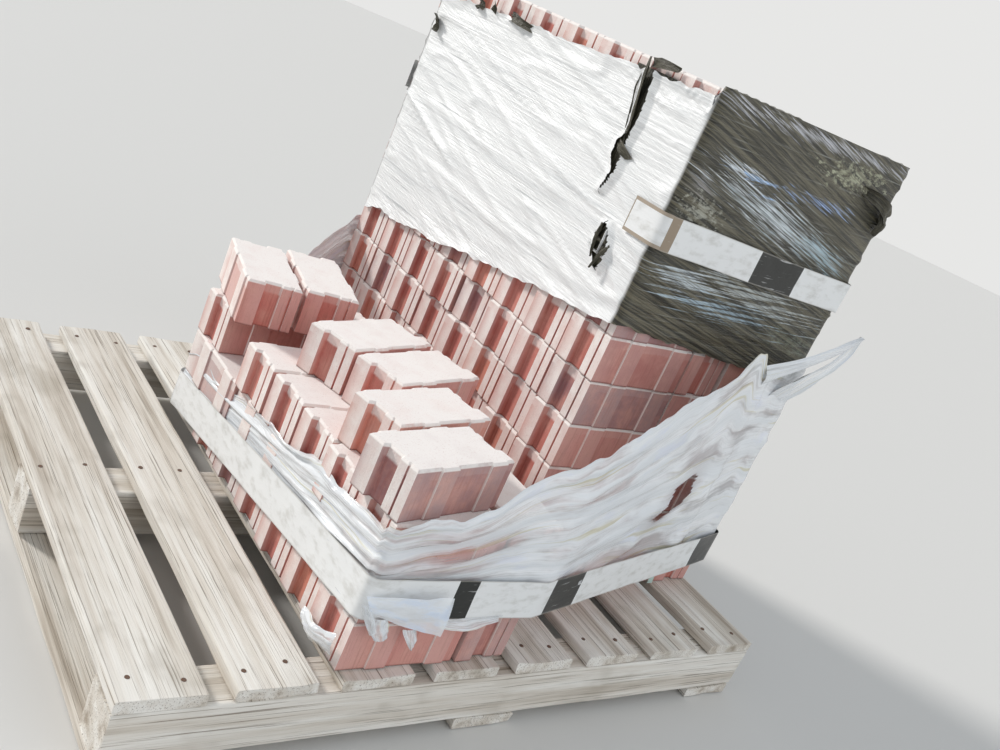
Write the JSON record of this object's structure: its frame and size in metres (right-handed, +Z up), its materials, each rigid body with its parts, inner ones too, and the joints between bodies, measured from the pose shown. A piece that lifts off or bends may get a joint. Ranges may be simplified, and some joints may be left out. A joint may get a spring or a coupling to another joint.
{
  "type": "pallet of paving bricks",
  "caption": "Part-used timber pallet of red nibbed paving bricks: a wrapped stack under black film, an opened group in clear film with loose bricks on top, and two tapes.",
  "frame": {"origin": "centre of the pallet on the floor", "axes": "+Z up, +X along the pallet's length towards the wrapped stack, +Y towards the back of the load"},
  "size_m": [1.2, 1, 1],
  "materials": {
    "paving_brick": "rough",
    "pallet_timber": "weathered",
    "black_film": "glossy stretch film",
    "clear_film": "milky stretch film",
    "printed_tape": "printed plastic tape"
  },
  "bodies": {
    "root": {"base_board_1": "pallet_timber", "base_board_2": "pallet_timber", "base_board_3": "pallet_timber", "bearer_1": "pallet_timber", "bearer_2": "pallet_timber", "bearer_3": "pallet_timber", "black_film": "black_film", "brick_a": "paving_brick", "brick_b": "paving_brick", "brick_c": "paving_brick", "brick_d": "paving_brick", "brick_e": "paving_brick", "brick_f": "paving_brick", "clear_film": "clear_film", "deck_board_1": "pallet_timber", "deck_board_2": "pallet_timber", "deck_board_3": "pallet_timber", "deck_board_4": "pallet_timber", "deck_board_5": "pallet_timber", "deck_board_6": "pallet_timber", "deck_board_7": "pallet_timber", "deck_board_8": "pallet_timber", "group_course_1": "paving_brick", "group_course_2": "paving_brick", "group_course_3": "paving_brick", "lower_tape": "printed_tape", "stack_core": "paving_brick", "stack_course_01": "paving_brick", "stack_course_02": "paving_brick", "stack_course_03": "paving_brick", "stack_course_04": "paving_brick", "stack_course_05": "paving_brick", "stack_course_06": "paving_brick", "stack_course_07": "paving_brick", "stack_course_11": "paving_brick", "upper_tape": "printed_tape"}
  },
  "joints": []
}
